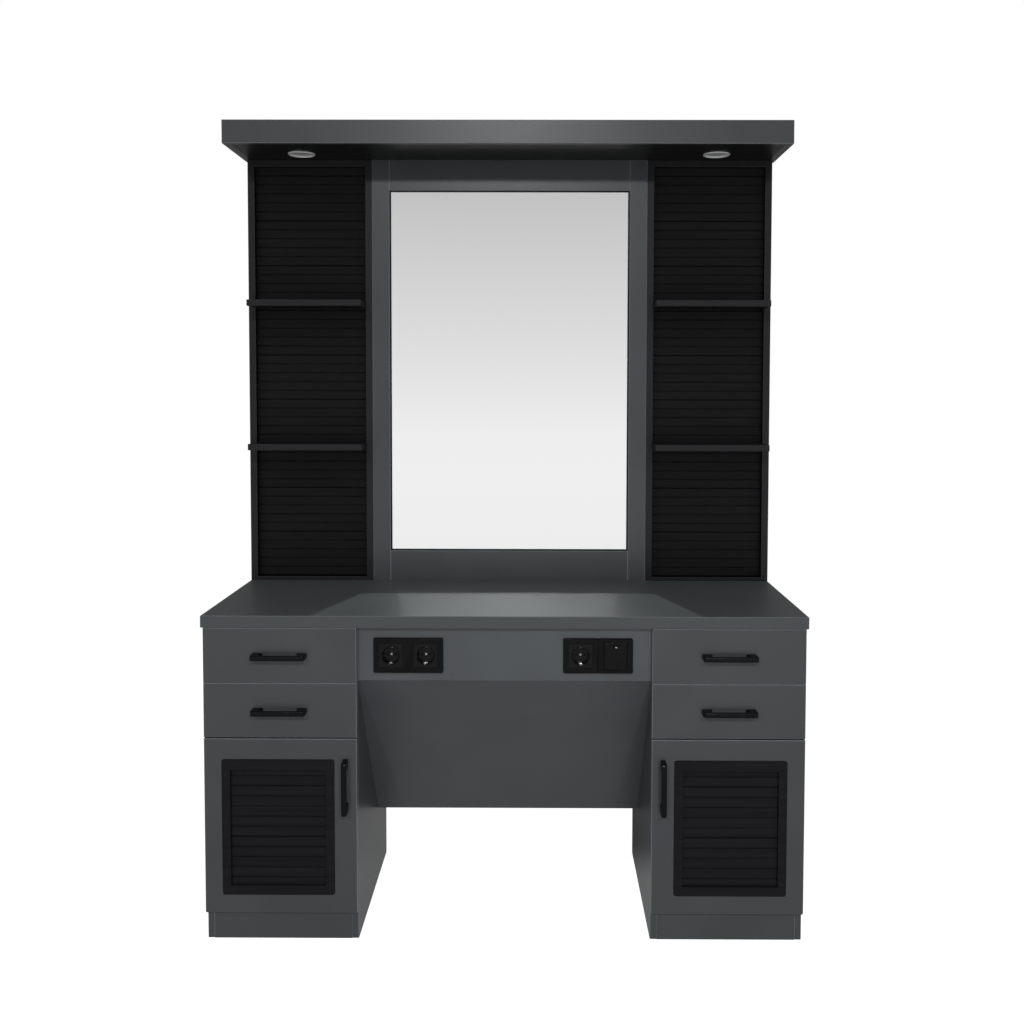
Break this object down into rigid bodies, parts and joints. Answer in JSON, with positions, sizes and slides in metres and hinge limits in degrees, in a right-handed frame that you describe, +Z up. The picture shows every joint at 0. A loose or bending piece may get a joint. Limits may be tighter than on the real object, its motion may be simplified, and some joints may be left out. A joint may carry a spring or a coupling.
{
  "type": "salon station",
  "caption": "Salon styling station with drawer and door pedestals, sloped knee panel, sockets, framed wall mirror, ribbed side panels, small shelves and a canopy with downlights.",
  "frame": {"origin": "on the floor, in the middle of the width and of the depth over the handles", "axes": "+Z up, -Y towards the user, +X to the user's right"},
  "size_m": [1.42, 0.508, 1.954],
  "materials": {
    "worktop_laminate": "anthracite melamine-faced board, satin, light edge band",
    "body_laminate": "anthracite melamine-faced board, fine satin",
    "shelf_laminate": "dark grey melamine-faced board",
    "back_hardboard": "dark lacquered hardboard",
    "drawer_board": "light grey melamine-faced board",
    "ribbed_panel": "black ribbed panel, satin",
    "mirror_glass": "silvered float glass, polished edge",
    "slide_steel": "zinc-plated steel",
    "zinc_steel": "zinc-plated steel angle",
    "black_steel": "black powder-coated steel",
    "black_handle": "matt black lacquered zinc casting",
    "socket_plastic": "black moulded thermoplastic, satin",
    "contact_metal": "nickel-plated brass",
    "box_plastic": "grey moulded polypropylene",
    "light_trim": "satin silver lacquer",
    "light_lens": "frosted polycarbonate"
  },
  "bodies": {
    "carcass": {"back_boxes": "box_plastic", "canopy_frame": "body_laminate", "canopy_soffit": "body_laminate", "canopy_top_panel": "body_laminate", "device_frames": "socket_plastic", "device_inserts": "socket_plastic", "downlight_lenses": "light_lens", "downlight_trims": "light_trim", "gables_left": "body_laminate", "gables_right": "body_laminate", "knee_panel": "body_laminate", "knee_panel_cleats": "body_laminate", "loose_shelves": "body_laminate", "magnet_catches": "black_steel", "mirror_backing": "back_hardboard", "mirror_frame": "body_laminate", "mirror_glass": "mirror_glass", "pedestal_backs": "back_hardboard", "pedestal_bottoms": "body_laminate", "pedestal_rails": "body_laminate", "pivot_hinges": "black_steel", "plinth_boards": "body_laminate", "shelf_brackets": "zinc_steel", "slat_panel_left": "ribbed_panel", "slat_panel_right": "ribbed_panel", "slide_channels": "slide_steel", "socket_apron": "body_laminate", "socket_contacts": "contact_metal", "wall_back_panel": "back_hardboard", "wall_posts_left": "shelf_laminate", "wall_posts_right": "shelf_laminate", "wall_rails": "shelf_laminate", "wall_shelves": "shelf_laminate", "worktop": "worktop_laminate"},
    "drawer_left_upper": {"drawer_left_upper_front": "body_laminate", "drawer_left_upper_box": "drawer_board", "drawer_left_upper_slides": "slide_steel", "drawer_left_upper_handle": "black_handle"},
    "drawer_left_lower": {"drawer_left_lower_front": "body_laminate", "drawer_left_lower_box": "drawer_board", "drawer_left_lower_slides": "slide_steel", "drawer_left_lower_handle": "black_handle"},
    "door_left": {"door_left_board": "body_laminate", "door_left_inset": "ribbed_panel", "door_left_handle": "black_handle", "door_left_catch_plate": "black_steel"},
    "drawer_right_upper": {"drawer_right_upper_front": "body_laminate", "drawer_right_upper_box": "drawer_board", "drawer_right_upper_slides": "slide_steel", "drawer_right_upper_handle": "black_handle"},
    "drawer_right_lower": {"drawer_right_lower_front": "body_laminate", "drawer_right_lower_box": "drawer_board", "drawer_right_lower_slides": "slide_steel", "drawer_right_lower_handle": "black_handle"},
    "door_right": {"door_right_board": "body_laminate", "door_right_inset": "ribbed_panel", "door_right_handle": "black_handle", "door_right_catch_plate": "black_steel"},
    "rocker": {"switch_rocker": "socket_plastic"}
  },
  "joints": [
    {"name": "drawer_left_upper_slide", "type": "slide", "parent": "carcass", "child": "drawer_left_upper", "axis": [0, -1, 0], "range_m": [0, 0.3]},
    {"name": "drawer_left_lower_slide", "type": "slide", "parent": "carcass", "child": "drawer_left_lower", "axis": [0, -1, 0], "range_m": [0, 0.3]},
    {"name": "door_left_hinge", "type": "hinge", "parent": "carcass", "child": "door_left", "pos_m": [-0.69, -0.216, 0.275], "axis": [0, 0, -1], "range_deg": [0, 110]},
    {"name": "drawer_right_upper_slide", "type": "slide", "parent": "carcass", "child": "drawer_right_upper", "axis": [0, -1, 0], "range_m": [0, 0.3]},
    {"name": "drawer_right_lower_slide", "type": "slide", "parent": "carcass", "child": "drawer_right_lower", "axis": [0, -1, 0], "range_m": [0, 0.3]},
    {"name": "door_right_hinge", "type": "hinge", "parent": "carcass", "child": "door_right", "pos_m": [0.69, -0.216, 0.275], "axis": [0, 0, 1], "range_deg": [0, 110]},
    {"name": "switch_rocker_tilt", "type": "hinge", "parent": "carcass", "child": "rocker", "pos_m": [0.25675, -0.209, 0.6725], "axis": [1, 0, 0], "range_deg": [0, 6]}
  ]
}
